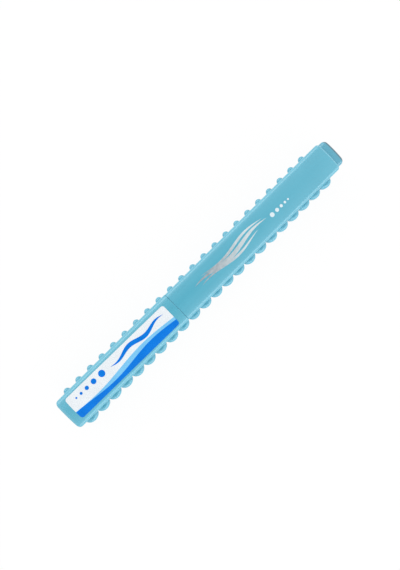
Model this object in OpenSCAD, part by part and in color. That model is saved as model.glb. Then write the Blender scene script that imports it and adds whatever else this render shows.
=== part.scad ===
// Capped brush marker with a rounded square body. A row of round knobs runs down
// one side and a row of wide lobes down the other, so that the knobs of one marker
// nest between the lobes of the next. It lies on its flat back with the label up,
// tail at -X and cap at +X. All sizes are in millimetres.

/* [Body] */
// Length of the visible barrel, from the tail to the cap's mouth
barrel_len = 60; // [45:0.1:90]
// Width of the barrel across its two side walls
barrel_w = 14; // [12.5:0.1:18]
// Depth of the barrel, from its flat back to the top of its front
barrel_d = 12.8; // [12:0.1:17]
// Radius of the gently domed front
crown_r = 30; // [20:1:80]
// Radius of the long edges of the body
edge_r = 2.3; // [1.8:0.1:4]
// Thickness of the barrel's walls
barrel_wall = 1.6; // [1.2:0.1:2.2]
// Thickness of the barrel's closed tail
tail_wall = 2.4; // [1.8:0.1:4]
// Rounding of the barrel's tail edge
tail_round = 1.5; // [0.6:0.1:2.2]
// Rounding of the barrel's edge at the cap
barrel_mouth_round = 0.2; // [0.1:0.05:0.6]
// Length of solid barrel behind the cap's mouth
barrel_solid = 5; // [3:0.1:9]
// Width of the gap that shows between the barrel and the cap
seam_gap = 0.15; // [0.1:0.05:0.4]

/* [Side links] */
// Distance from one knob or lobe to the next
link_pitch = 6.4; // [5.8:0.1:8]
// Smallest distance from the middle of the last link to the end of the body
link_margin = 5.2; // [4.6:0.1:10]
// Radius of a knob
knob_r = 1.5; // [1:0.02:1.8]
// Height of a knob above the side wall
knob_rise = 1.3; // [0.6:0.05:1.4]
// Radius of the sloping foot around a knob
knob_foot_r = 1.75; // [1.6:0.05:2.6]
// Height of the sloping foot around a knob
knob_foot_h = 0.15; // [0.1:0.05:0.6]
// Radius of a lobe seen from the front
lobe_r = 3.1; // [2.5:0.05:3.1]
// Height of a lobe above the side wall
lobe_rise = 2.2; // [1:0.05:2.4]
// Thickness of a lobe from front to back
lobe_t = 5; // [4.2:0.1:7]
// Rounding of a lobe's front and back edges
lobe_round = 1.8; // [0.3:0.05:2]

/* [Cap] */
// Length of the cap's shell
cap_len = 87.6; // [80:0.1:110]
// How far the cap's front and sides lie inside the barrel's
cap_step = 0.15; // [0.1:0.05:0.5]
// Thickness of the cap's walls
cap_wall = 1.25; // [1:0.05:1.6]
// Rounding of the edge at the cap's mouth
cap_mouth_round = 0.35; // [0.2:0.05:0.8]
// Rounding of the edge at the cap's far end
cap_end_round = 1; // [0.3:0.05:1.05]
// Length of the plug's head that stands out of the cap
plug_head_len = 3.7; // [2.5:0.1:8]
// How far the plug's head lies inside the cap's outer faces
plug_head_step = 0.75; // [0.6:0.05:1]
// Rounding of the plug's outer edge
plug_head_round = 1.9; // [0.4:0.1:2]
// Length of the plug's shank inside the cap
plug_shank_len = 6; // [4:0.1:10]
// Width that the hollow in the plug's shank is smaller than the inner cap's bore
plug_hollow_in = 0.5; // [0.2:0.05:1.5]
// Depth of the hollow in the plug's shank
plug_hollow = 4.6; // [2:0.1:8]

/* [Front end] */
// Length of the keyed spigot that the cap slides over
spigot_len = 8.4; // [5:0.1:14]
// Length of the round grip in front of the spigot
grip_len = 34; // [25:0.1:45]
// Gap between the round grip and the cap's hollow at its narrowest
grip_gap = 0.2; // [0.1:0.05:0.6]
// Chamfer on the grip's front edge
grip_chamfer = 0.4; // [0.2:0.05:0.6]
// Thickness of the grip's wall
grip_wall = 0.7; // [0.6:0.05:1]
// Length of the holder inside the grip
holder_shank = 9; // [6:0.1:14]
// Thickness of the holder's flange
holder_flange = 1.6; // [1:0.1:3]
// Length of the sealing ring
seal_len = 4; // [2.5:0.1:6]
// Length of the holder's cone
cone_len = 6.4; // [4:0.1:9]
// Step from the sealing ring down to the cone
cone_step = 0.5; // [0.4:0.05:1]
// Diameter of the cone at the nib
cone_d2 = 4.6; // [4:0.1:5.6]
// Width of an air groove beside the nib
vent_w = 0.6; // [0.4:0.05:0.9]
// Depth of an air groove beside the nib
vent_depth = 0.4; // [0.2:0.05:0.6]

/* [Nib and ink] */
// Diameter of the nib's shank
nib_d = 2.96; // [2.4:0.02:3.2]
// Length of the nib that stands out of the holder
nib_out = 10; // [7:0.1:13]
// Swell of the nib's brush over its shank
nib_swell = 0.12; // [0:0.02:0.4]
// Radius of the nib's point
nib_tip_r = 0.22; // [0.12:0.02:0.5]
// Length of the nib inside the ink reservoir
nib_soak = 7; // [4:0.1:12]
// Gap between the ink reservoir and the holder
ink_clear = 2; // [1:0.1:4]
// Gap around the wrapped reservoir inside the grip
ink_gap = 0.25; // [0.1:0.05:0.5]
// Thickness of the film around the ink reservoir
wrap_t = 0.15; // [0.1:0.01:0.2]
// Diameter of the tail plug's head
tail_head_d = 8.6; // [7.6:0.1:9.2]
// Thickness of the tail plug's head
tail_head_t = 0.9; // [0.6:0.1:1.4]
// Diameter of the tail plug's shank
tail_shank_d = 7; // [5:0.1:7.2]
// Length of the tail plug's shank
tail_shank_len = 3.6; // [2.5:0.1:6]
// Thickness of a rib that holds the reservoir
rib_t = 1; // [0.8:0.1:1.6]

/* [Inner cap] */
// Distance from the sealing ring's foot to the inner cap's mouth
inner_setback = 0.4; // [0.2:0.05:1]
// Wall of the inner cap
inner_wall = 0.7; // [0.5:0.05:0.8]
// Free length in front of the nib's point
nib_room = 7; // [5:0.1:12]
// Thickness of the inner cap's end wall
inner_end = 1; // [0.6:0.1:2]

/* [Label] */
// Distance of the label from the tail
label_from_tail = 4; // [2:0.1:8]
// Distance of the label from the barrel's end at the cap
label_from_cap = 3.4; // [2:0.1:8]
// Distance of the label from the barrel's side walls
label_from_side = 2.05; // [1.8:0.05:4]
// Corner radius of the label
label_r = 1.1; // [0.5:0.1:2]
// Thickness of the label
label_t = 0.1; // [0.06:0.01:0.2]
// Angle at which the label was stuck on, in degrees
label_turn = -0.7; // [-2:0.1:2]

/* [Fits] */
// Gap between the cap and the keyed spigot on each side
cap_gap = 0.1; // [0.06:0.01:0.2]
// Gap between the inner cap and the sealing ring on each side
seal_gap = 0.05; // [0.03:0.01:0.1]
// Chamfer that leads a pressed-in piece into its bore
lead_in = 0.3; // [0.15:0.05:0.4]
// Gap of a pressed-in piece on each side
press_gap = 0.02; // [0:0.01:0.05]
// Gap of a piece that is slipped in on each side
slip_gap = 0.05; // [0.03:0.01:0.1]

/* [Hidden] */
$fn = 48;
eps = 0.01;
arc_n = 6;
crown_n = 10;
body_len = barrel_len + seam_gap;
total_len = body_len + cap_len + plug_head_len;
y_mid = (lobe_rise - knob_rise) / 2;
cap_x0 = body_len;
cap_x1 = cap_x0 + cap_len;
spigot_x1 = barrel_len + spigot_len;
grip_x1 = spigot_x1 + grip_len;
seal_x0 = grip_x1 + holder_flange;
cone_x0 = seal_x0 + seal_len;
cone_x1 = cone_x0 + cone_len;
nib_x1 = cone_x1 + nib_out;
holder_x0 = grip_x1 - holder_shank;
ink_x0 = tail_head_t + tail_shank_len;
ink_x1 = holder_x0 - ink_clear;
nib_x0 = ink_x1 - nib_soak;
nib_bore = nib_d + 2 * press_gap;
hollow_in = cap_step + cap_wall;
hollow_min = min(barrel_w, barrel_d) - 2 * hollow_in;
grip_d = hollow_min - 2 * grip_gap;
grip_bore = grip_d - 2 * grip_wall;
wrap_d = grip_bore - 2 * ink_gap;
ink_d = wrap_d - 2 * wrap_t;
inner_d = hollow_min - 2 * slip_gap;
seal_d = inner_d - 2 * inner_wall - 2 * seal_gap;
cone_d1 = seal_d - 2 * cone_step;
label_len = barrel_len - label_from_tail - label_from_cap;
label_w = barrel_w - 2 * label_from_side;
axis_z = barrel_d / 2;
barrel_links = floor((barrel_len - link_pitch / 2 - link_margin) / link_pitch) + 1;
cap_links = floor((cap_len - link_pitch / 2 - link_margin) / link_pitch) + 1;
inner_x0 = seal_x0 + inner_setback;
inner_wall_x = nib_x1 + nib_room;
inner_x1 = cap_x1 - plug_shank_len;
hollow_x1 = barrel_len - barrel_solid;

// Outline of the body, moved inwards by a step, as points in width and height.
// Its back is then moved out again by the drop
function body_outline(step, drop = 0) =
    let (w = barrel_w - 2 * step,
        top = barrel_d - step,
        r = max(edge_r - step, 0.3),
        cr = crown_r - step,
        cy = w / 2 - r,
        oz = top - cr,
        bz = step - drop + r,
        cz = oz + sqrt(pow(cr - r, 2) - cy * cy),
        half = asin(cy / (cr - r)))
    concat(
        [for (i = [0:crown_n]) let (a = -half + 2 * half * i / crown_n)
            [cr * sin(a), oz + cr * cos(a)]],
        [for (i = [1:arc_n]) let (a = half + (90 - half) * i / arc_n)
            [cy + r * sin(a), cz + r * cos(a)]],
        [for (i = [0:arc_n]) let (a = 90 + 90 * i / arc_n)
            [cy + r * sin(a), bz + r * cos(a)]],
        [for (i = [0:arc_n]) let (a = 180 + 90 * i / arc_n)
            [-cy + r * sin(a), bz + r * cos(a)]],
        [for (i = [0:arc_n - 1]) let (a = 270 + (90 - half) * i / arc_n)
            [-cy + r * sin(a), cz + r * cos(a)]]);

// Puts a piece drawn from the tail along X into the frame of the whole marker
module placed() {
    translate([-total_len / 2, y_mid, 0]) children();
}

// Straight prism of the body's outline between two places along X
module prism(x0, x1, step, drop = 0) {
    translate([x0, 0, 0]) rotate([90, 0, 90]) linear_extrude(x1 - x0)
        polygon(body_outline(step, drop));
}

// End of a prism with its edge rounded, running from its end face inwards
module rounded_end(x, way, step, r, drop = 0) {
    hull() for (i = [0:4]) {
        a = 90 * i / 4;
        x_in = x + way * r * (1 - sin(a));
        prism(min(x_in, x_in + way * eps), max(x_in, x_in + way * eps),
            step + r * (1 - cos(a)), drop);
    }
}

// Prism of the body's outline with both end edges rounded
module rounded_prism(x0, x1, step, r0, r1, drop = 0) {
    rounded_end(x0, 1, step, r0, drop);
    prism(x0 + r0 + eps, x1 - r1 - eps, step, drop);
    rounded_end(x1, -1, step, r1, drop);
}

// Solid of revolution about the marker's axis, from points of place and radius
module turned(points) {
    translate([0, 0, axis_z]) rotate([0, 90, 0]) rotate_extrude()
        polygon([for (p = points) [p[1], p[0]]]);
}

// Bore about the marker's axis
module bore(x0, x1, d) {
    translate([x0, 0, axis_z]) rotate([0, 90, 0]) cylinder(d = d, h = x1 - x0);
}

// One knob on the +Y side
module knob(wall_y) {
    translate([0, wall_y + knob_rise - knob_r, axis_z]) sphere(r = knob_r);
    translate([0, wall_y, axis_z]) rotate([-90, 0, 0])
        cylinder(r1 = knob_foot_r, r2 = knob_r * 0.96, h = knob_foot_h);
    translate([0, wall_y - 0.4, axis_z]) rotate([-90, 0, 0])
        cylinder(r = knob_foot_r, h = 0.4);
}

// One lobe on the -Y side, a thick half disc with rounded rims
module lobe(wall_y) {
    translate([0, lobe_r - lobe_rise - wall_y, axis_z]) rotate_extrude()
        polygon(concat([[0, -lobe_t / 2]],
            [for (i = [0:arc_n]) let (a = 90 * i / arc_n)
                [lobe_r - lobe_round + lobe_round * sin(a),
                -lobe_t / 2 + lobe_round - lobe_round * cos(a)]],
            [for (i = [0:arc_n]) let (a = 90 * i / arc_n)
                [lobe_r - lobe_round + lobe_round * cos(a),
                lobe_t / 2 - lobe_round + lobe_round * sin(a)]],
            [[0, lobe_t / 2]]));
}

// Row of links that starts half a pitch from the seam and runs one way
module link_row(way, count, wall_y) {
    for (i = [0:count - 1])
        translate([barrel_len + seam_gap / 2 + way * link_pitch * (i + 0.5), 0, 0]) {
            knob(wall_y);
            lobe(wall_y);
        }
}

module barrel() {
    color([0.38, 0.71, 0.81]) placed() difference() {
        union() {
            rounded_prism(0, barrel_len, 0, tail_round, barrel_mouth_round);
            link_row(-1, barrel_links, barrel_w / 2);
            prism(barrel_len - 1, spigot_x1, hollow_in + cap_gap);
            turned([[barrel_len - 1, 0], [barrel_len - 1, grip_d / 2],
                [grip_x1 - grip_chamfer, grip_d / 2], [grip_x1, grip_d / 2 - grip_chamfer],
                [grip_x1, 0]]);
        }
        difference() {
            prism(tail_wall, hollow_x1, barrel_wall);
            for (a = [0, 90])
                translate([tail_wall, 0, axis_z]) rotate([a, 0, 0])
                    translate([0, -barrel_w, -rib_t / 2])
                        cube([hollow_x1 - tail_wall, 2 * barrel_w, rib_t]);
        }
        bore(tail_wall, grip_x1 + 1, grip_bore);
        bore(-1, tail_wall + 1, tail_shank_d + 2 * press_gap);
        bore(-1, tail_head_t, tail_head_d + 2 * press_gap);
    }
}

module tail_plug() {
    color([0.36, 0.69, 0.79]) placed()
        turned([[0, 0], [0, tail_head_d / 2 - 0.2], [0.2, tail_head_d / 2],
            [tail_head_t, tail_head_d / 2], [tail_head_t, tail_shank_d / 2],
            [tail_head_t + tail_shank_len - lead_in, tail_shank_d / 2],
            [tail_head_t + tail_shank_len, tail_shank_d / 2 - lead_in],
            [tail_head_t + tail_shank_len, 0]]);
}

module ink_reservoir() {
    color([0.35, 0.68, 0.84]) placed() difference() {
        bore(ink_x0, ink_x1, ink_d);
        bore(nib_x0, ink_x1 + 1, nib_bore);
    }
}

module reservoir_wrap() {
    color([0.93, 0.95, 0.96]) placed() difference() {
        bore(ink_x0, ink_x1, wrap_d);
        bore(ink_x0 - 1, ink_x1 + 1, ink_d + 2 * press_gap);
    }
}

module nib_holder() {
    color([0.96, 0.96, 0.96]) placed() difference() {
        turned([[holder_x0, 0], [holder_x0, grip_bore / 2 - press_gap - lead_in],
            [holder_x0 + lead_in, grip_bore / 2 - press_gap],
            [grip_x1, grip_bore / 2 - press_gap], [grip_x1, grip_d / 2],
            [seal_x0 - lead_in, grip_d / 2], [seal_x0, grip_d / 2 - lead_in],
            [seal_x0, seal_d / 2], [cone_x0 - lead_in, seal_d / 2],
            [cone_x0, seal_d / 2 - lead_in], [cone_x0, cone_d1 / 2],
            [cone_x1, cone_d2 / 2], [cone_x1, 0]]);
        bore(holder_x0 - 1, cone_x1 + 1, nib_bore);
        for (a = [0, 120, 240])
            translate([holder_x0 - 1, 0, axis_z]) rotate([a, 0, 0])
                translate([0, 0, -vent_w / 2])
                    cube([cone_x1 - holder_x0 + 2, nib_bore / 2 + vent_depth, vent_w]);
    }
}

module brush_nib() {
    color([0.2, 0.56, 0.76]) placed()
        turned(concat([[nib_x0, 0], [nib_x0, nib_d / 2 - lead_in], [nib_x0 + lead_in, nib_d / 2],
            [cone_x1, nib_d / 2]],
            [for (i = [1:15]) let (t = i / 16)
                [cone_x1 + nib_out * t,
                (nib_d / 2 - nib_tip_r) * (1 - pow(t, 1.5)) + nib_tip_r * sqrt(1 - pow(t, 8))
                    + nib_swell * sin(180 * t)]],
            [[nib_x1, 0]]));
}

module barrel_label() {
    color([0.95, 0.96, 0.98]) placed() intersection() {
        difference() {
            prism(label_from_tail - 1, label_from_tail + label_len + 1, -label_t);
            prism(label_from_tail - 2, label_from_tail + label_len + 2, 0);
        }
        translate([label_from_tail + label_len / 2, 0, barrel_d / 2])
            rotate([0, 0, label_turn]) linear_extrude(barrel_d) union() {
                square([label_len - 2 * label_r, label_w], center = true);
                square([label_len, label_w - 2 * label_r], center = true);
                for (x = [-1, 1], y = [-1, 1])
                    translate([x * (label_len / 2 - label_r), y * (label_w / 2 - label_r)])
                        circle(r = label_r);
            }
    }
}

// The cap's back is flush with the barrel's, so that the marker lies flat
module cap_shell() {
    color([0.38, 0.71, 0.81]) placed() difference() {
        union() {
            rounded_prism(cap_x0, cap_x1, cap_step, cap_mouth_round, cap_end_round,
                cap_step);
            link_row(1, cap_links, barrel_w / 2 - cap_step);
        }
        prism(cap_x0 - 1, cap_x1 + 1, hollow_in);
    }
}

module inner_cap() {
    color([0.9, 0.94, 0.95]) placed() difference() {
        bore(inner_x0, inner_x1, inner_d);
        bore(inner_x0 - 1, inner_wall_x, seal_d + 2 * seal_gap);
        bore(inner_wall_x + inner_end, inner_x1 + 1, seal_d + 2 * seal_gap);
    }
}

module cap_plug() {
    color([0.35, 0.67, 0.77]) placed() difference() {
        union() {
            rounded_prism(cap_x1, cap_x1 + plug_head_len, cap_step + plug_head_step, 0.05,
                plug_head_round);
            prism(cap_x1 - plug_shank_len, cap_x1 + 0.5, hollow_in + press_gap);
        }
        bore(cap_x1 - plug_shank_len - 1, cap_x1 - plug_shank_len + plug_hollow,
            seal_d + 2 * seal_gap - plug_hollow_in);
    }
}

barrel();
tail_plug();
ink_reservoir();
reservoir_wrap();
nib_holder();
brush_nib();
barrel_label();
cap_shell();
inner_cap();
cap_plug();
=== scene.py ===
"""Looks of a capped brush marker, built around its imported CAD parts.

The pieces are drawn in millimetres in the frame of the whole marker (tail at -X, cap at +X, label up)
and are brought to metres when they are finished.
"""

import math

import bmesh
import bpy
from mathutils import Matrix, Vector


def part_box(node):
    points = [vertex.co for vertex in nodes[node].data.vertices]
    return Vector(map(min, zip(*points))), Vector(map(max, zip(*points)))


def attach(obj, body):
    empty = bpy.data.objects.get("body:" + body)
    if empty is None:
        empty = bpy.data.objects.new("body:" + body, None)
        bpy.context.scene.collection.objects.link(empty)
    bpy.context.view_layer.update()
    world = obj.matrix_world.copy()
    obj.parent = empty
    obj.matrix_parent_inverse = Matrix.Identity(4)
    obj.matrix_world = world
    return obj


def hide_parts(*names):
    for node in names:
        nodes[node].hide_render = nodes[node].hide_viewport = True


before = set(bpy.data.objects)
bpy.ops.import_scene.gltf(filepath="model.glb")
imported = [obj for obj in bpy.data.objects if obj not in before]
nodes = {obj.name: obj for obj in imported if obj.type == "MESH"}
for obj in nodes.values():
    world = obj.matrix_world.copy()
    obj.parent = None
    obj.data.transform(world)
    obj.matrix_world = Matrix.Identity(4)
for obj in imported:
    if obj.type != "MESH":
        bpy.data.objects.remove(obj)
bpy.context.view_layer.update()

MM = 0.001

# Places along the marker, from the CAD boxes
barrel_low, barrel_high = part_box("barrel")
cap_low, cap_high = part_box("cap_shell")
plug_low, plug_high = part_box("cap_plug")
holder_low, holder_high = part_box("nib_holder")
nib_low, nib_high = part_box("brush_nib")
inner_low, inner_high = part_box("inner_cap")

tail_x = barrel_low.x / MM
grip_end_x = barrel_high.x / MM
cap_x = cap_low.x / MM
cap_end_x = cap_high.x / MM
plug_shank_x = plug_low.x / MM
plug_end_x = plug_high.x / MM
holder_x = holder_low.x / MM
cone_end_x = holder_high.x / MM
nib_x = nib_low.x / MM
nib_point_x = nib_high.x / MM
body_y = (inner_low.y + inner_high.y) / 2 / MM
axis_z = (inner_low.z + inner_high.z) / 2 / MM

# Sizes of the body in millimetres. SEAM_GAP is the CAD's gap, SEAM_SHOWN the one that is seen
SEAM_GAP = 0.15
SEAM_SHOWN = 0.03
BODY_W = 14.0
BODY_D = 12.8
CROWN_R = 30.0
EDGE_R = 2.3
EDGE_R_LEAST = 0.3
TAIL_ROUND = 1.5
BARREL_MOUTH_ROUND = 0.2
BARREL_WALL = 1.6
BARREL_SOLID = 5.0
RIB_T = 1.0
CAP_STEP = 0.15
CAP_WALL = 1.25
CAP_MOUTH_ROUND = 0.2
CAP_END_ROUND = 1.0
PLUG_STEP = 0.9
PLUG_EDGE_R = 3.0
PLUG_ROUND = 1.9
PLUG_FIT_STEP = 1.42
PLUG_BORE_R = 4.0
PLUG_HOLLOW = 4.6
INNER_WALL = 0.7
INNER_END = 1.0
NIB_ROOM = 7.0
SPIGOT_STEP = 1.5
SPIGOT_LEN = 8.31
SPIGOT_ROUND = 0.25
GRIP_R = 4.8
GRIP_BORE_R = 4.1
GRIP_ROOT = 2.0
TAIL_HEAD_R = 4.32
TAIL_HEAD_T = 0.9
TAIL_SHANK_R = 3.52
TAIL_SHANK_LEN = 3.6
TAIL_WALL = 2.4
DISH_R = 1.0
DISH_RIM_R = 1.15
DISH_DEPTH = 0.12
FIT = 0.02
LEAD_IN = 0.3

# Sizes of the links along the sides
LINK_PITCH = 6.4
BARREL_LINKS = 9
CAP_LINKS = 13
KNOB_R = 1.5
KNOB_RISE = 1.3
KNOB_ROOT = 0.6
KNOB_FOOT_R = 1.75
KNOB_FOOT_H = 0.15
KNOB_FOOT_SAG = 0.028
LOBE_R = 3.1
LOBE_FLAT = 0.86
LOBE_RISE = 2.2
LOBE_T = 5.0
LOBE_ROUND = 1.8

# Sizes of the front end
FLANGE_T = 1.6
SEAL_R = 4.2
SEAL_REST = 0.12
SEAL_LEN = 4.0
CONE_R1 = 3.7
CONE_R2 = 2.3
NIB_R = 1.48
NIB_OUT = 10.0
NIB_TIP_R = 0.22
NIB_SWELL = 0.12
NIB_TAPER = 1.5
NIB_BLUNT = 8
VENT_W = 0.6
VENT_REACH = 1.9
VENT_TURNS = (0, 120, 240)

# Rounded edges of turned pieces, as pairs of distance back from the end and in from the radius
ROUND_GRIP = ((0.4, 0.0), (0.28, 0.03), (0.12, 0.12), (0.03, 0.28), (0.0, 0.4))
ROUND_STOPPER = ((0.0, 0.2), (0.06, 0.06), (0.2, 0.0))
ROUND_CUP_INSIDE = ((0.08, 0.0), (0.0, -0.14))
ROUND_CUP_OUTSIDE = ((0.0, 0.14), (0.08, 0.03), (0.2, 0.0))
ROUND_CUP_FLOOR = ((0.0, 0.5), (0.15, 0.15), (0.5, 0.0))
CLOSE_CUP = ((0.2, 0.0), (0.08, 0.0))
ROUND_FLANGE_BACK = ((0.0, 0.15), (0.05, 0.04), (0.16, 0.0))
ROUND_FLANGE_FRONT = ((0.3, 0.0), (0.1, 0.08), (0.0, 0.3))
SEAL_BEAD = ((-0.9, SEAL_REST), (-0.45, 0.03), (0.0, 0.0), (0.45, 0.03), (0.9, SEAL_REST))
ROUND_SEAL_FRONT = ((0.3, SEAL_REST), (0.08, 0.22), (0.0, 0.4))
CONE_FOOT = ((0.0, 0.0), (0.6, 0.16))
ROUND_CONE_FRONT = ((0.25, -0.05), (0.07, 0.06), (0.0, 0.25))

# Sizes of the label
LABEL_FROM_TAIL = 4.0
LABEL_L = 52.6
LABEL_W = 9.9
LABEL_R = 1.1
LABEL_T = 0.1
LABEL_TURN = math.radians(-0.7)
LABEL_HOVER = 4.0

# Steps of round forms
CORNER_STEPS = 8
CROWN_STEPS = 24
END_STEPS = 7
CAP_END_STEPS = 5
CAP_MOUTH_STEPS = 4
SMALL_EDGE_STEPS = 3
FINE_TURN_STEPS = 96
TURN_STEPS = 72
NIB_TURN_STEPS = 64
NIB_LENGTH_STEPS = 32
KNOB_TURN_STEPS = 40
KNOB_FOOT_STEPS = 5
KNOB_DOME_STEPS = 10
LOBE_TURN_STEPS = 64
LOBE_EDGE_STEPS = 8
LABEL_STEPS_ALONG = 16
LABEL_STEPS_ACROSS = 20

# Reach of a cutter past a face, the distances at which points count as one or as on a face, and how
# squarely a face has to look along the marker to count as an end
OVERCUT = 1.0
MERGE = 0.0005
FINE_MERGE = 0.0001
ON_FACE = 0.002
OFF_SPIGOT = 0.02
ON_CUT = 0.00001
SQUARELY = 0.99

# Form of a bevel, smoothing angles in degrees and weight of the large faces in the normals
ROUND_PROFILE = 0.5
SMOOTH_ANGLE = 32.0
NIB_SMOOTH_ANGLE = 50.0
NORMAL_WEIGHT = 50

barrel_end_x = cap_x - SEAM_SHOWN
seam_x = cap_x - SEAM_GAP / 2
label_x = tail_x + LABEL_FROM_TAIL + LABEL_L / 2


# Modelling, in words of the bench

def pick_none():
    """Leaves object mode with nothing selected."""
    if bpy.context.object and bpy.context.object.mode != "OBJECT":
        bpy.ops.object.mode_set(mode="OBJECT")
    bpy.ops.object.select_all(action="DESELECT")


def pick(piece):
    """Selects one piece alone."""
    pick_none()
    piece.select_set(True)
    bpy.context.view_layer.objects.active = piece


def open_mesh(piece):
    """Goes into edit mode on one piece."""
    pick(piece)
    bpy.ops.object.mode_set(mode="EDIT")


def close_mesh():
    """Goes back to object mode."""
    bpy.ops.object.mode_set(mode="OBJECT")


def named(name):
    """Names the piece that was just made."""
    piece = bpy.context.object
    piece.name = name
    piece.data.name = name
    return piece


def set_place(piece):
    """Puts a piece's place, turn and scale into its mesh."""
    pick(piece)
    bpy.ops.object.transform_apply(location=True, rotation=True, scale=True)


def join(pieces):
    """Joins several pieces into the first of them."""
    pick_none()
    for piece in pieces:
        piece.select_set(True)
    bpy.context.view_layer.objects.active = pieces[0]
    bpy.ops.object.join()
    return bpy.context.object


def dot(name, place):
    """A new piece of one vertex, selected in edit mode, from which an outline is drawn."""
    pick_none()
    bpy.ops.mesh.primitive_plane_add(size=1, location=(0, 0, 0))
    piece = named(name)
    open_mesh(piece)
    bpy.ops.mesh.select_mode(type="VERT")
    bpy.ops.mesh.select_all(action="SELECT")
    bpy.ops.mesh.merge(type="CENTER")
    bpy.ops.transform.translate(value=place)
    return piece


def draw_by(step):
    """Draws a straight edge from the selected vertex."""
    bpy.ops.mesh.extrude_vertices_move(TRANSFORM_OT_translate={"value": step})


def draw_arc(centre, axis, angle, steps):
    """Draws an arc from the selected vertex, turned about an axis by the right-hand rule."""
    bpy.ops.mesh.spin(steps=steps, angle=-angle, center=centre, axis=axis)


def push_along(step):
    """Extrudes the selected faces along the marker."""
    bpy.ops.mesh.extrude_region_move(TRANSFORM_OT_translate={"value": (step, 0, 0)})


def weld(reach=MERGE):
    """Merges the points of the open mesh that lie within reach of each other."""
    bpy.ops.mesh.select_all(action="SELECT")
    bpy.ops.mesh.remove_doubles(threshold=reach)


def face_out():
    """Turns all faces of the open mesh outwards."""
    bpy.ops.mesh.select_all(action="SELECT")
    bpy.ops.mesh.normals_make_consistent(inside=False)


def cut_flat(place, normal):
    """Cuts the whole open mesh along a plane and keeps both sides."""
    bpy.ops.mesh.select_all(action="SELECT")
    bpy.ops.mesh.bisect(plane_co=place, plane_no=normal, threshold=ON_CUT)


def select_end(piece, x):
    """Selects the flat end face of a prism at a place along the marker."""
    bpy.ops.mesh.select_mode(type="FACE")
    bpy.ops.mesh.select_all(action="DESELECT")
    mesh = bmesh.from_edit_mesh(piece.data)
    for face in mesh.faces:
        if abs(face.calc_center_median().x - x) < ON_FACE and abs(face.normal.x) > SQUARELY:
            face.select_set(True)
    bmesh.update_edit_mesh(piece.data)


def select_edges(piece, wanted):
    """Selects the edges of which both ends are wanted."""
    bpy.ops.mesh.select_mode(type="EDGE")
    bpy.ops.mesh.select_all(action="DESELECT")
    mesh = bmesh.from_edit_mesh(piece.data)
    for edge in mesh.edges:
        if wanted(edge.verts[0].co) and wanted(edge.verts[1].co):
            edge.select_set(True)
    bmesh.update_edit_mesh(piece.data)


def round_end(piece, x, radius, steps):
    """Rounds the rim of the flat end at a place along the marker."""
    select_edges(piece, lambda point: abs(point.x - x) < ON_FACE)
    bpy.ops.mesh.bevel(
        offset=radius, segments=steps, profile=ROUND_PROFILE, affect="EDGES", clamp_overlap=False)
    weld()


def apply_modifier(piece, kind, **values):
    """Adds a modifier to a piece and applies it."""
    pick(piece)
    modifier = piece.modifiers.new(kind.lower(), kind)
    for key, value in values.items():
        setattr(modifier, key, value)
    bpy.ops.object.modifier_apply(modifier=modifier.name)


def combine(piece, other, operation):
    """Joins another solid to a piece, or cuts it out of the piece, and removes the other."""
    apply_modifier(piece, "BOOLEAN", operation=operation, object=other, solver="EXACT")
    bpy.data.objects.remove(other)


def smooth(piece, angle=SMOOTH_ANGLE):
    """Smooths the shading up to an angle and lets the large faces set the normals."""
    pick(piece)
    bpy.ops.object.shade_smooth_by_angle(angle=math.radians(angle))
    apply_modifier(piece, "WEIGHTED_NORMAL", keep_sharp=True, weight=NORMAL_WEIGHT)


def body_prism(name, x0, x1, step, drop=0.0, edge=EDGE_R):
    """Prism of the body's outline, moved inwards by a step, with its back moved out by the drop."""
    r = max(edge - step, EDGE_R_LEAST)
    crown = CROWN_R - step
    cy = BODY_W / 2 - step - r
    crown_z = BODY_D - step - crown
    corner_z = crown_z + math.sqrt((crown - r) ** 2 - cy * cy)
    half = math.asin(cy / (crown - r))
    back_z = step - drop
    along = (1, 0, 0)
    quarter = math.pi / 2
    piece = dot(name, (x0, body_y + crown * math.sin(half), crown_z + crown * math.cos(half)))
    draw_arc((x0, body_y, crown_z), along, 2 * half, CROWN_STEPS)
    draw_arc((x0, body_y - cy, corner_z), along, quarter - half, CORNER_STEPS)
    draw_by((0, 0, back_z + r - corner_z))
    draw_arc((x0, body_y - cy, back_z + r), along, quarter, CORNER_STEPS)
    draw_by((0, 2 * cy, 0))
    draw_arc((x0, body_y + cy, back_z + r), along, quarter, CORNER_STEPS)
    draw_by((0, 0, corner_z - back_z - r))
    draw_arc((x0, body_y + cy, corner_z), along, quarter - half, CORNER_STEPS)
    weld()
    bpy.ops.mesh.edge_face_add()
    push_along(x1 - x0)
    face_out()
    return piece


def block(name, size, middle):
    """Plain block to cut with, from its size and the place of its middle."""
    pick_none()
    bpy.ops.mesh.primitive_cube_add(size=1, location=(0, 0, 0))
    piece = named(name)
    open_mesh(piece)
    bpy.ops.mesh.select_all(action="SELECT")
    bpy.ops.transform.resize(value=size)
    bpy.ops.transform.translate(value=middle)
    close_mesh()
    return piece


def turned(name, points, steps):
    """Solid of revolution about the marker's axis, from points of place and radius."""
    piece = dot(name, (points[0][0], body_y, axis_z + points[0][1]))
    for before, after in zip(points, points[1:]):
        draw_by((after[0] - before[0], 0, after[1] - before[1]))
    bpy.ops.mesh.select_all(action="SELECT")
    bpy.ops.mesh.spin(steps=steps, angle=2 * math.pi, center=(0, body_y, axis_z), axis=(1, 0, 0))
    weld()
    bpy.ops.mesh.delete_loose()
    face_out()
    close_mesh()
    return piece


def edge_points(x, radius, form, way=-1):
    """Points of a rounded edge that starts at an end and runs one way along the marker."""
    return [(x + way * back, radius - inward) for back, inward in form]


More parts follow.
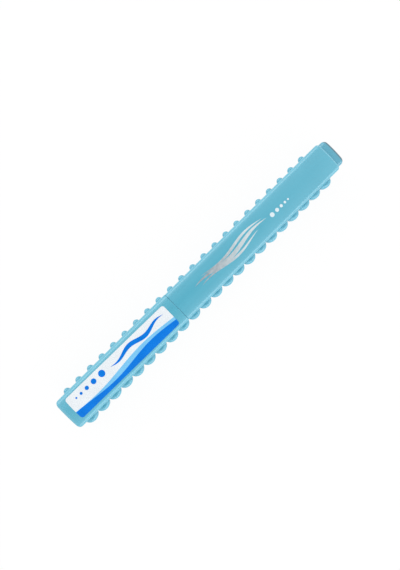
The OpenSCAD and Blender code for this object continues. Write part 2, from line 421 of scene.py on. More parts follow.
def turned_upright(name, points, steps, axis):
    """Solid of revolution about an axis through the origin, along Y for a knob or Z for a lobe."""
    along_y = axis[1] == 1

    def in_space(height, radius):
        return (radius, height, 0) if along_y else (radius, 0, height)

    piece = dot(name, in_space(*points[0]))
    for before, after in zip(points, points[1:]):
        draw_by(in_space(after[0] - before[0], after[1] - before[1]))
    bpy.ops.mesh.select_all(action="SELECT")
    bpy.ops.mesh.spin(steps=steps, angle=2 * math.pi, center=(0, 0, 0), axis=axis)
    weld()
    face_out()
    close_mesh()
    return piece


def row_of(pattern, places):
    """Copies one modelled link to many places and joins the copies into one piece."""
    copies = []
    for place in places:
        pick(pattern)
        bpy.ops.object.duplicate(linked=False)
        copy = bpy.context.object
        copy.location = place
        copies.append(copy)
    bpy.data.objects.remove(pattern)
    row = join(copies)
    set_place(row)
    return row


# Pieces

def knob_profile():
    """Knob seen from the side, as points of height above the side wall and radius."""
    centre = KNOB_RISE - KNOB_R
    points = [(-KNOB_ROOT, 0.0), (-KNOB_ROOT, KNOB_FOOT_R), (0.0, KNOB_FOOT_R)]
    neck_r = math.sqrt(KNOB_R ** 2 - (KNOB_FOOT_H - centre) ** 2)
    for i in range(1, KNOB_FOOT_STEPS + 1):
        t = i / KNOB_FOOT_STEPS
        sag = KNOB_FOOT_SAG * math.sin(math.pi * t)
        points.append((KNOB_FOOT_H * t - sag, KNOB_FOOT_R + (neck_r - KNOB_FOOT_R) * t - sag))
    low = math.asin((KNOB_FOOT_H - centre) / KNOB_R)
    for i in range(1, KNOB_DOME_STEPS):
        a = low + (math.pi / 2 - low) * i / KNOB_DOME_STEPS
        points.append((centre + KNOB_R * math.sin(a), KNOB_R * math.cos(a)))
    points.append((KNOB_RISE, 0.0))
    return points


def lobe_profile():
    """Half of a lobe's section, as points of height and radius."""
    edge_z = LOBE_T / 2 - LOBE_ROUND
    edge_r = LOBE_R - LOBE_ROUND
    angles = [math.pi / 2 * i / LOBE_EDGE_STEPS for i in range(LOBE_EDGE_STEPS + 1)]
    lower = [(-edge_z - LOBE_ROUND * math.cos(a), edge_r + LOBE_ROUND * math.sin(a)) for a in angles]
    upper = [(edge_z + LOBE_ROUND * math.sin(a), edge_r + LOBE_ROUND * math.cos(a)) for a in angles]
    return [(-LOBE_T / 2, 0.0), *lower, *upper, (LOBE_T / 2, 0.0)]


def side_links(name, way, count, wall):
    """The knobs and lobes of one half, as one piece to join to its body."""
    xs = [seam_x + way * LINK_PITCH * (i + 0.5) for i in range(count)]
    knob = turned_upright("knob", knob_profile(), KNOB_TURN_STEPS, (0, 1, 0))
    knobs = row_of(knob, [(x, body_y + wall, axis_z) for x in xs])
    lobe = turned_upright("lobe", lobe_profile(), LOBE_TURN_STEPS, (0, 0, 1))
    lobe.scale = (1.0, LOBE_FLAT, 1.0)
    set_place(lobe)
    lobe_y = body_y - wall - LOBE_RISE + LOBE_R * LOBE_FLAT
    lobes = row_of(lobe, [(x, lobe_y, axis_z) for x in xs])
    join([knobs, lobes])
    return named(name)


def on_barrel_rim(point):
    """True for a point on the outer rim of the barrel's flat front end, and not on the spigot's foot."""
    if abs(point.x - barrel_end_x) > ON_FACE:
        return False
    beside = abs(point.y - body_y) > BODY_W / 2 - SPIGOT_STEP + OFF_SPIGOT
    below = point.z < SPIGOT_STEP - OFF_SPIGOT
    above = point.z > BODY_D - SPIGOT_STEP + OFF_SPIGOT
    return beside or below or above


def ribbed_hollow():
    """Hollow between the barrel's walls and the four ribs that hold the reservoir."""
    start = tail_x + TAIL_WALL
    end = cap_x - SEAM_GAP - BARREL_SOLID
    piece = body_prism("barrel_hollow", start, end, BARREL_WALL)
    close_mesh()
    length = end - start + 2 * OVERCUT
    middle = ((start + end) / 2, body_y, axis_z)
    for size in ((length, RIB_T, 2 * BODY_D), (length, 2 * BODY_W, RIB_T)):
        combine(piece, block("rib", size, middle), "DIFFERENCE")
    return piece


def make_barrel():
    """Barrel with its links, the keyed spigot and the round grip, bored from end to end."""
    piece = body_prism("barrel_shell", tail_x, barrel_end_x, 0.0)
    round_end(piece, tail_x, TAIL_ROUND, END_STEPS)
    select_end(piece, barrel_end_x)
    bpy.ops.mesh.inset(thickness=SPIGOT_STEP, depth=0)
    push_along(SPIGOT_LEN)
    select_edges(piece, on_barrel_rim)
    bpy.ops.mesh.bevel(
        offset=BARREL_MOUTH_ROUND, segments=SMALL_EDGE_STEPS, profile=ROUND_PROFILE, affect="EDGES")
    round_end(piece, barrel_end_x + SPIGOT_LEN, SPIGOT_ROUND, SMALL_EDGE_STEPS)
    face_out()
    close_mesh()
    combine(piece, side_links("barrel_links", -1, BARREL_LINKS, BODY_W / 2), "UNION")
    grip_x = barrel_end_x - GRIP_ROOT
    grip = turned("grip", [
        (grip_x, 0), (grip_x, GRIP_R), *edge_points(grip_end_x, GRIP_R, ROUND_GRIP),
        (grip_end_x, 0)], FINE_TURN_STEPS)
    combine(piece, grip, "UNION")
    combine(piece, ribbed_hollow(), "DIFFERENCE")
    bore_x = tail_x - OVERCUT
    seat_x = tail_x + TAIL_HEAD_T
    wall_x = tail_x + TAIL_WALL
    bore_end_x = grip_end_x + OVERCUT
    bore = turned("bore", [
        (bore_x, 0), (bore_x, TAIL_HEAD_R), (seat_x, TAIL_HEAD_R), (seat_x, TAIL_SHANK_R),
        (wall_x, TAIL_SHANK_R), (wall_x, GRIP_BORE_R), (bore_end_x, GRIP_BORE_R),
        (bore_end_x, 0)], FINE_TURN_STEPS)
    combine(piece, bore, "DIFFERENCE")
    open_mesh(piece)
    weld(FINE_MERGE)
    close_mesh()
    smooth(piece)
    return piece


def make_label(barrel):
    """Film label with round corners, laid on the barrel's domed front a little askew."""
    pick_none()
    bpy.ops.mesh.primitive_plane_add(size=1, location=(0, 0, 0))
    piece = named("label_film")
    open_mesh(piece)
    bpy.ops.mesh.select_mode(type="VERT")
    bpy.ops.mesh.select_all(action="SELECT")
    bpy.ops.transform.resize(value=(LABEL_L, LABEL_W, 1))
    bpy.ops.mesh.bevel(
        offset=LABEL_R, segments=CORNER_STEPS, profile=ROUND_PROFILE, affect="VERTICES")
    for i in range(1, LABEL_STEPS_ACROSS):
        cut_flat((0, LABEL_W * (i / LABEL_STEPS_ACROSS - 0.5), 0), (0, 1, 0))
    for i in range(1, LABEL_STEPS_ALONG):
        cut_flat((LABEL_L * (i / LABEL_STEPS_ALONG - 0.5), 0, 0), (1, 0, 0))
    close_mesh()
    piece.location = (label_x, body_y, BODY_D + LABEL_HOVER)
    piece.rotation_euler = (0, 0, LABEL_TURN)
    set_place(piece)
    apply_modifier(piece, "SHRINKWRAP", target=barrel, wrap_method="PROJECT", use_project_z=True,
                   use_negative_direction=True, use_positive_direction=False)
    apply_modifier(piece, "SOLIDIFY", thickness=LABEL_T, offset=1.0, use_even_offset=True)
    smooth(piece)
    return piece


def make_tail_stopper():
    """Round stopper that closes the barrel's tail, with a small dish in its outer face."""
    head = TAIL_HEAD_R - FIT
    shank = TAIL_SHANK_R - FIT
    low = tail_x + TAIL_HEAD_T
    end = low + TAIL_SHANK_LEN
    dish_x = tail_x + DISH_DEPTH
    piece = turned("tail_stopper", [
        (dish_x, 0), (dish_x, DISH_R), (tail_x, DISH_RIM_R),
        *edge_points(tail_x, head, ROUND_STOPPER, 1), (low, head), (low, shank),
        (end - LEAD_IN, shank), (end, shank - LEAD_IN), (end, 0)], TURN_STEPS)
    smooth(piece)
    return piece


def make_holder():
    """White holder pressed into the grip: flange, sealing ring and cone, with three air grooves."""
    shank = GRIP_BORE_R - FIT
    hole = NIB_R + FIT
    flange_end = grip_end_x + FLANGE_T
    cone_x = flange_end + SEAL_LEN
    piece = turned("tip_holder", [
        (holder_x, hole), (holder_x, shank - LEAD_IN), (holder_x + LEAD_IN, shank), (grip_end_x, shank),
        *edge_points(grip_end_x, GRIP_R, ROUND_FLANGE_BACK, 1),
        *edge_points(flange_end, GRIP_R, ROUND_FLANGE_FRONT),
        (flange_end, SEAL_R - SEAL_REST),
        *edge_points(flange_end + SEAL_LEN / 2, SEAL_R, SEAL_BEAD, 1),
        *edge_points(cone_x, SEAL_R, ROUND_SEAL_FRONT),
        *edge_points(cone_x, CONE_R1, CONE_FOOT, 1),
        *edge_points(cone_end_x, CONE_R2, ROUND_CONE_FRONT),
        (cone_end_x, hole), (holder_x, hole)], FINE_TURN_STEPS)
    groove_size = (cone_end_x - holder_x + 2 * OVERCUT, VENT_REACH, VENT_W)
    for turn in VENT_TURNS:
        groove = block("air_groove", groove_size, (0, VENT_REACH / 2, 0))
        groove.location = ((holder_x + cone_end_x) / 2, body_y, axis_z)
        groove.rotation_euler = (math.radians(turn), 0, 0)
        set_place(groove)
        combine(piece, groove, "DIFFERENCE")
    smooth(piece)
    return piece


def make_nib():
    """Fibre nib: a straight shank and a brush that tapers to a fine point."""
    points = [(nib_x, 0), (nib_x, NIB_R - LEAD_IN), (nib_x + LEAD_IN, NIB_R), (cone_end_x, NIB_R)]
    for i in range(1, NIB_LENGTH_STEPS):
        t = i / NIB_LENGTH_STEPS
        taper = (NIB_R - NIB_TIP_R) * (1 - t ** NIB_TAPER)
        point = NIB_TIP_R * math.sqrt(1 - t ** NIB_BLUNT)
        points.append((cone_end_x + NIB_OUT * t, taper + point + NIB_SWELL * math.sin(math.pi * t)))
    points.append((nib_point_x, 0))
    piece = turned("brush_point", points, NIB_TURN_STEPS)
    smooth(piece, NIB_SMOOTH_ANGLE)
    return piece


def make_cap():
    """Cap shell, open from end to end, with its links."""
    piece = body_prism("cap_tube", cap_x, cap_end_x, CAP_STEP, CAP_STEP)
    round_end(piece, cap_x, CAP_MOUTH_ROUND, CAP_MOUTH_STEPS)
    round_end(piece, cap_end_x, CAP_END_ROUND, CAP_END_STEPS)
    close_mesh()
    combine(piece, side_links("cap_links", 1, CAP_LINKS, BODY_W / 2 - CAP_STEP), "UNION")
    hollow = body_prism("cap_hollow", cap_x - OVERCUT, cap_end_x + OVERCUT, CAP_STEP + CAP_WALL)
    close_mesh()
    combine(piece, hollow, "DIFFERENCE")
    smooth(piece)
    return piece


def make_plug():
    """Plug in the cap's far end, with a rounded head and a bored shank inside the cap."""
    piece = body_prism("cap_stub", cap_end_x, plug_end_x, PLUG_STEP, edge=PLUG_EDGE_R)
    round_end(piece, plug_end_x, PLUG_ROUND, END_STEPS)
    select_end(piece, cap_end_x)
    bpy.ops.mesh.inset(thickness=PLUG_FIT_STEP - PLUG_STEP, depth=0)
    push_along(plug_shank_x - cap_end_x)
    face_out()
    close_mesh()
    bore_x = plug_shank_x - OVERCUT
    bore_end_x = plug_shank_x + PLUG_HOLLOW
    bore = turned("bore", [
        (bore_x, 0), (bore_x, PLUG_BORE_R), (bore_end_x, PLUG_BORE_R), (bore_end_x, 0)], TURN_STEPS)
    combine(piece, bore, "DIFFERENCE")
    smooth(piece)
    return piece


def make_inner_cup():
    """Thin cup inside the cap that closes round the sealing ring."""
    outer = (inner_high.z - inner_low.z) / 2 / MM
    inner = outer - INNER_WALL
    x0 = inner_low.x / MM
    x1 = inner_high.x / MM
    floor = nib_point_x + NIB_ROOM
    back = floor + INNER_END
    piece = turned("inner_cup", [
        *edge_points(x0, inner, ROUND_CUP_INSIDE, 1), *edge_points(x0, outer, ROUND_CUP_OUTSIDE, 1),
        (x1, outer), (x1, inner), (back, inner), (back, 0), (floor, 0),
        *edge_points(floor, inner, ROUND_CUP_FLOOR), *edge_points(x0, inner, CLOSE_CUP, 1)], TURN_STEPS)
    smooth(piece)
    return piece


barrel_shell = make_barrel()
label_film = make_label(barrel_shell)
tail_stopper = make_tail_stopper()
tip_holder = make_holder()
brush_point = make_nib()
cap_tube = make_cap()
cap_stub = make_plug()
inner_cup = make_inner_cup()

RIDES = (
    (barrel_shell, "barrel_body", "barrel", "barrel_plastic"),
    (label_film, "barrel_body", "barrel_label", "label_film"),
    (tail_stopper, "barrel_body", "tail_plug", "barrel_plastic"),
    (tip_holder, "barrel_body", "nib_holder", "holder_plastic"),
    (brush_point, "barrel_body", "brush_nib", "nib_fibre"),
    (cap_tube, "cap_body", "cap_shell", "cap_plastic"),
    (cap_stub, "cap_body", "cap_plug", "plug_plastic"),
    (inner_cup, "cap_body", "inner_cap", "inner_plastic"),
)
for piece, body, node, slot in RIDES:
    piece.scale = (MM, MM, MM)
    set_place(piece)
    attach(piece, body)
    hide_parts(node)


# Finishes. Each pair of colours is a light and a dark tone, as they show on a screen

BODY_BLUE = ((94, 182, 206), (89, 177, 201))
STOPPER_BLUE = ((93, 179, 203), (88, 174, 198))
STUB_BLUE = ((82, 168, 193), (77, 163, 188))
HOLDER_WHITE = ((232, 235, 237), (224, 228, 231))
INNER_WHITE = ((226, 238, 242), (216, 230, 236))
WRAP_WHITE = ((232, 240, 244), (222, 232, 238))
NIB_BLUE = ((96, 186, 220), (52, 140, 190))
INK_BLUE = ((110, 190, 222), (76, 160, 204))
FILM_WHITE = ((237, 242, 246), (230, 236, 241))
PRINT_BLUE = ((5, 125, 229), (2, 116, 218))
PRINT_PALE = ((130, 203, 244), (117, 193, 239))
FOIL_GREY = ((202, 213, 220), (168, 182, 192))
FOIL_BRIGHT = ((238, 250, 253), (226, 243, 248))
DOT_WHITE = (226, 241, 247)
# Painted highlight for the cap's rounded far edge
PAINTED_EDGE_HIGHLIGHT = (170, 225, 242)
# Painted shade for the rounded edge of the plug's end
PAINTED_SHADE_DARK = (46, 90, 106)

# Roughness, as the range that a finish varies over
SATIN_ROUGH = (0.23, 0.27)
HOLDER_ROUGH = (0.3, 0.4)
INNER_ROUGH = (0.38, 0.5)
WRAP_ROUGH = (0.12, 0.2)
LABEL_ROUGH = (0.3, 0.38)
FIBRE_ROUGH = (0.55, 0.8)

# Specular level, metal share of the foil, and strength and depth in metres of the fine bumps
PLASTIC_SPECULAR = 1.0
LABEL_SPECULAR = 0.15
FOIL_METAL = 0.3
PLASTIC_GRAIN = 0.1
WRAP_GRAIN = 0.05
LABEL_GRAIN = 0.08
FIBRE_GRAIN = 0.6
PLASTIC_BUMP = 0.00003
LABEL_BUMP = 0.00002
FIBRE_BUMP = 0.00008

# Scales of the patterns, in repeats to the metre, stretches of those that run along the marker,
# levels of detail, shares in a tone, and the middle range of values that is spread
GRAIN_SCALE = 5200.0
CLOUD_SCALE = 90.0
FLOW_STRETCH = (18.0, 420.0, 420.0)
LABEL_PATTERN = {"Grain": 7000.0, "Clouds": 260.0}
FOIL_PATTERN = {"Grain": 9000.0, "Clouds": 700.0}
NIB_FINENESS = 9000.0
INK_FINENESS = 4000.0
CLUMP_SCALE = 1500.0
STRAND_STRETCH = (0.04, 1.0, 1.0)
FINE_DETAIL = 2.0
CLOUD_DETAIL = 3.0
CLOUD_SHARE = 0.6
FLOW_SHARE = 0.4
STRAND_SHARE = 0.5
CLUMP_SHARE = 0.5
PATTERN_SPAN = (0.3, 0.7)

# Sockets of a Mix node that is set to colours
MIX_FACTOR = 0
MIX_FIRST = 6
MIX_SECOND = 7
MIX_RESULT = 2

# Prints, in millimetres from the middle of the printed face, along the marker and across it.
# A dot is its place and radius, a wave its rate, phase, height and middle, and a stroke its
# middle, half length and half width
PRINT_SOFT = 0.035
LABEL_DOTS = (
    (-22.4, 2.35, 0.4), (-19.9, 2.35, 0.6), (-16.9, 2.35, 0.85), (-13.3, 2.35, 1.12), (-9.0, 2.35, 1.42))
HIGH_WAVE = (0.12, 0.3, 0.95, -1.15)
LOW_WAVE = (0.15, -0.5, 0.85, -2.45)
STROKE_WAVE = (0.42, -0.9, 0.75, 2.0)
STROKE = (9.5, 14.5, 0.95)
CAP_PRINT_X = 21.0
CAP_DOTS = (
    (16.6, -0.6, 0.95), (19.4, -0.6, 0.8), (21.8, -0.6, 0.66), (23.9, -0.6, 0.53), (25.7, -0.6, 0.41))
CAP_FRONT_Z = (10.9, 11.1)

# The foil lines are a shift across the cap, a half length and a half width
FOIL_LINES = ((1.55, 17.0, 0.55), (0.0, 20.0, 0.85), (-1.55, 16.0, 0.5))
FOIL_MIDDLE = -6.0
FOIL_RATE = 0.21
FOIL_PHASE = 0.45
FOIL_HEIGHT = 0.9
FOIL_FADE = (-18.0, 3.0)

# The cap's painted highlight on its far edge and the plug's painted shade round the edge of its end, as
# places back from the end and shares of colour
PAINTED_HIGHLIGHT_SPAN = (-1.0, -0.5)
PAINTED_HIGHLIGHT_SHARE = 0.3
PAINTED_SHADE_START = (-1.4, -0.9)
PAINTED_SHADE_STOP = (-0.25, 0.0)
PAINTED_SHADE_SHARE = 0.9
PAINTED_SHADE_LEFT = 0.4


def srgb(red, green, blue):
    """A colour as it shows on a screen, from 0 to 255, in the linear values that a shader takes."""
    linear = []
    for value in (red, green, blue):
        part = value / 255
        linear.append(part / 12.92 if part <= 0.04045 else ((part + 0.055) / 1.055) ** 2.4)
    return (*linear, 1.0)


def feed(tree, socket, value):
    """Links an output to a node's input, or writes a number or a colour there."""
    if isinstance(value, Wire):
        value = value.socket
    if isinstance(value, bpy.types.NodeSocket):
        tree.links.new(value, socket)
    else:
        socket.default_value = value


def add_node(tree, kind, inputs=None, **settings):
    """Adds a node, with its settings, and feeds its inputs."""
    made = tree.nodes.new(kind)
    for key, value in settings.items():
        setattr(made, key, value)
    for key, value in (inputs or {}).items():
        feed(tree, made.inputs[key], value)
    return made


class Wire:
    """An output socket that can be used in sums, each of which adds a Math node."""

    def __init__(self, tree, socket):
        self.tree = tree
        self.socket = socket

    def calc(self, operation, *others):
        made = add_node(
            self.tree, "ShaderNodeMath", dict(enumerate((self, *others))), operation=operation)
        return Wire(self.tree, made.outputs[0])

    def __add__(self, other):
        return self.calc("ADD", other)

    def __sub__(self, other):
        return self.calc("SUBTRACT", other)

    def __mul__(self, other):
        return self.calc("MULTIPLY", other)

    def least(self, other):
        return self.calc("MINIMUM", other)

    def most(self, other):
        return self.calc("MAXIMUM", other)

    def size(self):
        return self.calc("ABSOLUTE")

    def sine(self):
        return self.calc("SINE")

    def root(self):
        return self.calc("SQRT")


def ramp(tree, value, span, low=0.0, high=1.0, **settings):
    """Runs from low to high while a value runs over a span, and stays at either end outside it."""
    made = add_node(tree, "ShaderNodeMapRange", {
        "Value": value, "From Min": span[0], "From Max": span[1], "To Min": low, "To Max": high},
        **settings)
    return Wire(tree, made.outputs["Result"])


def spread(tree, value, low=0.0, high=1.0):
    """Maps a pattern's middle range to a range of values."""
    return ramp(tree, value, PATTERN_SPAN, low, high)


def noise(tree, vector, scale, detail):
    """Soft noise at a scale."""
    made = add_node(tree, "ShaderNodeTexNoise", {"Vector": vector, "Scale": scale, "Detail": detail})
    return made.outputs["Fac"]


def new_group(name, inputs, outputs):
    """A shader node group with named number inputs (with their defaults) and named outputs."""
    group = bpy.data.node_groups.new(name, "ShaderNodeTree")
    for label, value in inputs.items():
        socket = group.interface.new_socket(name=label, in_out="INPUT", socket_type="NodeSocketFloat")
        socket.default_value = value
    for label in outputs:
        group.interface.new_socket(name=label, in_out="OUTPUT", socket_type="NodeSocketFloat")
    start = group.nodes.new("NodeGroupInput")
    end = group.nodes.new("NodeGroupOutput")
    return group, start, end


def object_place(tree, **mapping):
    """Places on the marker, stretched where a mapping is given."""
    place = add_node(tree, "ShaderNodeTexCoord").outputs["Object"]
    if not mapping:
        return place
    return add_node(tree, "ShaderNodeMapping", {"Vector": place, **mapping}).outputs["Vector"]


def make_moulded_skin():
    """Skin of moulded plastic: fine grain, faint clouds of colour and flow lines along the marker."""
    group, start, end = new_group(
        "moulded_skin", {"Grain": GRAIN_SCALE, "Clouds": CLOUD_SCALE}, ("Grain", "Clouds", "Flow"))
    place = object_place(group)
    along = object_place(group, Scale=FLOW_STRETCH)
    feed(group, end.inputs["Grain"], noise(group, place, start.outputs["Grain"], FINE_DETAIL))
    feed(group, end.inputs["Clouds"], noise(group, place, start.outputs["Clouds"], CLOUD_DETAIL))
    feed(group, end.inputs["Flow"], noise(group, along, 1.0, FINE_DETAIL))
    return group


def make_strands():
    """Fibres that run along the marker, as fine strands and wider clumps."""
    group, start, end = new_group("strands", {"Fineness": NIB_FINENESS}, ("Strands", "Clumps"))
    along = object_place(group, Scale=STRAND_STRETCH)
    feed(group, end.inputs["Strands"], noise(group, along, start.outputs["Fineness"], FINE_DETAIL))
    feed(group, end.inputs["Clumps"], noise(group, along, CLUMP_SCALE, FINE_DETAIL))
    return group


def make_print_edge():
    """Turns a distance from a printed shape's edge, in millimetres and negative inside, into its ink."""
    group, start, end = new_group("print_edge", {"Distance": 1.0}, ("Ink",))
    edge = ramp(group, start.outputs["Distance"], (-PRINT_SOFT, PRINT_SOFT), 1.0, 0.0,
                interpolation_type="SMOOTHSTEP")
    feed(group, end.inputs["Ink"], edge)
    return group


moulded_skin = make_moulded_skin()
strands = make_strands()
print_edge = make_print_edge()


def new_finish(name):
    """A new material with its shader and output only."""
    finish = bpy.data.materials.new(name)
    finish.use_nodes = True
    tree = finish.node_tree
    tree.nodes.clear()
    shader = tree.nodes.new("ShaderNodeBsdfPrincipled")
    add_node(tree, "ShaderNodeOutputMaterial", {"Surface": shader.outputs["BSDF"]})
    return finish, tree, shader


def place_group(tree, group, **values):
    """Places a node group and feeds its inputs."""
    return add_node(tree, "ShaderNodeGroup", values, node_tree=group)


def mix_colour(tree, factor, first, second):
    """Mixes two colours."""
    made = add_node(tree, "ShaderNodeMix", {
        MIX_FACTOR: factor, MIX_FIRST: first, MIX_SECOND: second}, data_type="RGBA")
    return made.outputs[MIX_RESULT]


def mix_tones(tree, factor, tones):
    """Mixes the dark and the light tone of a pair."""
    light, dark = tones
    return mix_colour(tree, factor, srgb(*dark), srgb(*light))


def bump(tree, shader, height, strength, depth):
    """Raises a pattern on a surface."""
    made = add_node(tree, "ShaderNodeBump", {"Height": height, "Strength": strength, "Distance": depth})
    feed(tree, shader.inputs["Normal"], made.outputs["Normal"])


def plastic(name, tones, rough=SATIN_ROUGH, grain=PLASTIC_GRAIN):
    """Moulded plastic between two close tones, with fine grain and a satin sheen."""
    finish, tree, shader = new_finish(name)
    shader.inputs["Specular IOR Level"].default_value = PLASTIC_SPECULAR
    skin = place_group(tree, moulded_skin)
    flow = Wire(tree, skin.outputs["Flow"])
    tone = Wire(tree, skin.outputs["Clouds"]) * CLOUD_SHARE + flow * FLOW_SHARE
    colour = mix_tones(tree, spread(tree, tone), tones)
    feed(tree, shader.inputs["Base Color"], colour)
    feed(tree, shader.inputs["Roughness"], spread(tree, flow, *rough))
    bump(tree, shader, skin.outputs["Grain"], grain, PLASTIC_BUMP)
    return finish, tree, shader, colour


def fibre(name, tones, fineness):
    """Bundle of fibres soaked with ink."""
    finish, tree, shader = new_finish(name)
    bundle = place_group(tree, strands, Fineness=fineness)
    fine = Wire(tree, bundle.outputs["Strands"])
    tone = fine * STRAND_SHARE + Wire(tree, bundle.outputs["Clumps"]) * CLUMP_SHARE
    feed(tree, shader.inputs["Base Color"], mix_tones(tree, spread(tree, tone), tones))
    feed(tree, shader.inputs["Roughness"], spread(tree, fine, *FIBRE_ROUGH))
    bump(tree, shader, fine, FIBRE_GRAIN, FIBRE_BUMP)
    return finish


def print_place(tree, x, turn):
    """Places on a printed face, in millimetres from its middle, along the marker, across it and up."""
    place = object_place(tree)
    middle = add_node(tree, "ShaderNodeMapping", {
        "Vector": place, "Location": (x * MM, body_y * MM, 0.0), "Rotation": (0.0, 0.0, turn),
        "Scale": (MM, MM, MM)}, vector_type="TEXTURE")
    parts = add_node(tree, "ShaderNodeSeparateXYZ", {"Vector": middle.outputs["Vector"]})
    return [Wire(tree, parts.outputs[axis]) for axis in ("X", "Y", "Z")]


def ink(tree, distance):
    """Ink of a printed shape, from the distance to its edge."""
    return Wire(tree, place_group(tree, print_edge, Distance=distance).outputs["Ink"])


def nearest(distances):
    """The least of several distances."""
    first, *others = distances
    for other in others:
        first = first.least(other)
    return first


def dot_distance(along, across, x, y, radius):
    """Distance from a round dot's edge."""
    dx = along - x
    dy = across - y
    return (dx * dx + dy * dy).root() - radius


def wave(along, rate, phase, height, middle):
    """Where a wave runs across a print."""
    return (along * rate + phase).sine() * height + middle


def stroke_distance(along, across, line, middle, half_length, half_width):
    """Distance from a brush stroke that swells in its middle and follows a line."""
    reach = (along - middle) * (1 / half_length)
    width = (reach * reach * -1.0 + 1.0) * half_width
    return (across - line).size() - width


def make_label_finish():
    """White film with a printed wave along its lower edge, growing dots and one brush stroke."""
    finish, tree, shader = new_finish("printed_label")
    shader.inputs["Specular IOR Level"].default_value = LABEL_SPECULAR
    along, across, _ = print_place(tree, label_x, LABEL_TURN)
    skin = place_group(tree, moulded_skin, **LABEL_PATTERN)
    clouds = spread(tree, skin.outputs["Clouds"])
    high_wave = across - wave(along, *HIGH_WAVE)
    low_wave = across - wave(along, *LOW_WAVE)
    spots = [dot_distance(along, across, *spot) for spot in LABEL_DOTS]
    stroke = stroke_distance(along, across, wave(along, *STROKE_WAVE), *STROKE)
    marks = nearest([low_wave, *spots, stroke])
    colour = mix_tones(tree, clouds, FILM_WHITE)
    colour = mix_colour(tree, ink(tree, high_wave), colour, mix_tones(tree, clouds, PRINT_PALE))
    colour = mix_colour(tree, ink(tree, marks), colour, mix_tones(tree, clouds, PRINT_BLUE))
    feed(tree, shader.inputs["Base Color"], colour)
    feed(tree, shader.inputs["Roughness"], spread(tree, skin.outputs["Clouds"], *LABEL_ROUGH))
    bump(tree, shader, skin.outputs["Grain"], LABEL_GRAIN, LABEL_BUMP)
    return finish


def foil_line(along, across, shift, half_length, half_width):
    """Distance from one of the foil's flowing lines."""
    line = wave(along, FOIL_RATE, shift * FOIL_PHASE, FOIL_HEIGHT, shift)
    return stroke_distance(along, across, line, FOIL_MIDDLE + shift, half_length, half_width)


def make_cap_finish():
    """Cap plastic with a painted highlight on its far edge, flowing foil lines and a row of dots on its
    front.
    """
    finish, tree, shader, plain = plastic("cap_blue", BODY_BLUE)
    along, across, up = print_place(tree, CAP_PRINT_X, 0.0)
    front = ramp(tree, up, CAP_FRONT_Z)
    foil = ink(tree, nearest([foil_line(along, across, *line) for line in FOIL_LINES])) * front
    spots = ink(tree, nearest([dot_distance(along, across, *spot) for spot in CAP_DOTS])) * front
    skin = place_group(tree, moulded_skin, **FOIL_PATTERN)
    clouds = spread(tree, skin.outputs["Clouds"])
    silver = mix_colour(tree, ramp(tree, along, FOIL_FADE), mix_tones(tree, clouds, FOIL_GREY),
                        mix_tones(tree, clouds, FOIL_BRIGHT))
    far = cap_end_x - CAP_PRINT_X
    # Painted highlight: a paler band on the cap's rounded far edge
    edge = ramp(tree, along, [far + back for back in PAINTED_HIGHLIGHT_SPAN], 0.0, PAINTED_HIGHLIGHT_SHARE)
    colour = mix_colour(tree, edge, plain, srgb(*PAINTED_EDGE_HIGHLIGHT))
    colour = mix_colour(tree, foil, colour, silver)
    colour = mix_colour(tree, spots, colour, srgb(*DOT_WHITE))
    feed(tree, shader.inputs["Base Color"], colour)
    feed(tree, shader.inputs["Metallic"], foil * FOIL_METAL)
    return finish


def make_stub_finish():
    """Plug plastic, a little darker than the cap, with painted shade in a ring round the edge of its
    end.
    """
    finish, tree, shader, plain = plastic("stub_blue", STUB_BLUE)
    along, _, _ = print_place(tree, plug_end_x, 0.0)
    # Painted shade: a dark ring round the rounded edge of the plug's end
    ring = ramp(tree, along, PAINTED_SHADE_START, 0.0, PAINTED_SHADE_SHARE) * ramp(tree, along, PAINTED_SHADE_STOP, 1.0, PAINTED_SHADE_LEFT)
    feed(tree, shader.inputs["Base Color"], mix_colour(tree, ring, plain, srgb(*PAINTED_SHADE_DARK)))
    return finish


FINISHES = {
    barrel_shell: plastic("barrel_blue", BODY_BLUE)[0],
    label_film: make_label_finish(),
    tail_stopper: plastic("stopper_blue", STOPPER_BLUE)[0],
    tip_holder: plastic("holder_white", HOLDER_WHITE, HOLDER_ROUGH)[0],
    brush_point: fibre("nib_fibre", NIB_BLUE, NIB_FINENESS),
    cap_tube: make_cap_finish(),
    cap_stub: make_stub_finish(),
    inner_cup: plastic("inner_milky", INNER_WHITE, INNER_ROUGH)[0],
    nodes["ink_reservoir"]: fibre("ink_fibre", INK_BLUE, INK_FINENESS),
    nodes["reservoir_wrap"]: plastic("wrap_film", WRAP_WHITE, WRAP_ROUGH, WRAP_GRAIN)[0],
}
for piece, finish in FINISHES.items():
    piece.data.materials.clear()
    piece.data.materials.append(finish)


# Studio, in metres. A lamp is its name, place, length, height and power

FLOOR_SIZE = 6.0
FLOOR_Z = -0.00002
FLOOR_TONE = (0.9, 0.9, 0.9, 1.0)
FLOOR_GLOW = 1.01
FLOOR_GLOW_SHARE = 0.93
WHITE = (1.0, 1.0, 1.0, 1.0)
DOME_SPAN = (0.0, 0.8)
DOME_FOOT = 1.0
DOME_TOP = 0.95
OVERHEAD_SPAN = (0.895, 1.0)
LAMPS = (
    ("knob_side_box", (0.0, 0.55, 0.20), 0.9, 0.30, 1.3),
    ("lobe_side_box", (0.0, -0.57, 0.18), 0.9, 0.34, 1.5),
)
CAMERA_PLACE = (-0.016759, 0.008296, 0.209)
CAMERA_TURN = (1.17729, -4.48445, -44.83755)
CAMERA_SENSOR = 36.0
CAMERA_LENS = 31.43
CAMERA_NEAR = 0.005


def any_shown_ray(tree):
    """One for rays that come from the camera or off a glossy or clear surface, and else zero."""
    path = add_node(tree, "ShaderNodeLightPath")
    shown = Wire(tree, path.outputs["Is Camera Ray"]).most(path.outputs["Is Glossy Ray"])
    return shown.most(path.outputs["Is Transmission Ray"])


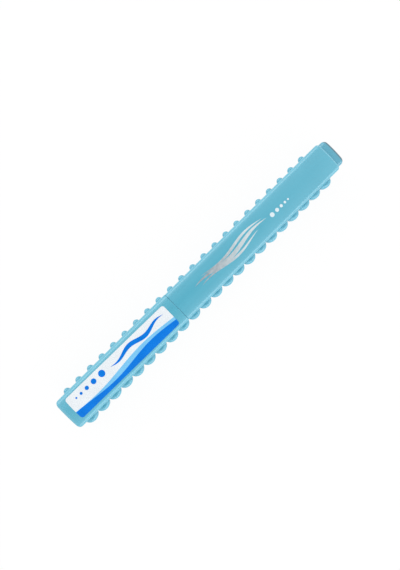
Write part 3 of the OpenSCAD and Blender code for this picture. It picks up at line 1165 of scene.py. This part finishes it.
def make_floor():
    """Plain white table that keeps a faint shadow."""
    pick_none()
    bpy.ops.mesh.primitive_plane_add(size=FLOOR_SIZE, location=(0, 0, FLOOR_Z))
    floor = named("studio_floor")
    finish = bpy.data.materials.new("studio_white")
    finish.use_nodes = True
    tree = finish.node_tree
    tree.nodes.clear()
    matt = add_node(tree, "ShaderNodeBsdfDiffuse", {"Color": FLOOR_TONE}).outputs[0]
    glow = add_node(tree, "ShaderNodeEmission", {"Color": WHITE, "Strength": FLOOR_GLOW}).outputs[0]
    lit = add_node(tree, "ShaderNodeMixShader", {0: FLOOR_GLOW_SHARE, 1: matt, 2: glow}).outputs[0]
    whole = add_node(tree, "ShaderNodeMixShader", {0: any_shown_ray(tree), 1: matt, 2: lit}).outputs[0]
    add_node(tree, "ShaderNodeOutputMaterial", {"Surface": whole})
    floor.data.materials.append(finish)


def make_world():
    """Soft white dome all around, dark straight overhead, where the camera stands before it."""
    world = bpy.data.worlds.new("studio")
    bpy.context.scene.world = world
    world.use_nodes = True
    tree = world.node_tree
    tree.nodes.clear()
    way = add_node(tree, "ShaderNodeTexCoord").outputs["Generated"]
    up = add_node(tree, "ShaderNodeSeparateXYZ", {"Vector": way}).outputs["Z"]
    strength = ramp(tree, up, DOME_SPAN, DOME_FOOT, DOME_TOP) * ramp(tree, up, OVERHEAD_SPAN, 1.0, 0.0)
    sky = add_node(tree, "ShaderNodeBackground", {"Color": WHITE, "Strength": strength})
    add_node(tree, "ShaderNodeOutputWorld", {"Surface": sky.outputs[0]})


def make_lamp(name, place, length, height, power):
    """A soft box that looks at the marker."""
    pick_none()
    bpy.ops.object.light_add(type="AREA", location=place)
    lamp = bpy.context.object
    lamp.name = name
    lamp.data.shape = "RECTANGLE"
    lamp.data.size = length
    lamp.data.size_y = height
    lamp.data.energy = power
    lamp.rotation_euler = Vector(place).to_track_quat("Z", "Y").to_euler()


def make_camera():
    """Camera close above the marker, where the photograph's perspective puts it."""
    pick_none()
    bpy.ops.object.camera_add(location=CAMERA_PLACE)
    camera = bpy.context.object
    camera.name = "photo_camera"
    camera.rotation_euler = [math.radians(angle) for angle in CAMERA_TURN]
    camera.data.sensor_fit = "VERTICAL"
    camera.data.sensor_height = CAMERA_SENSOR
    camera.data.lens = CAMERA_LENS
    camera.data.clip_start = CAMERA_NEAR
    bpy.context.scene.camera = camera


make_floor()
make_world()
for lamp in LAMPS:
    make_lamp(*lamp)
make_camera()
bpy.context.scene.view_settings.view_transform = "Standard"
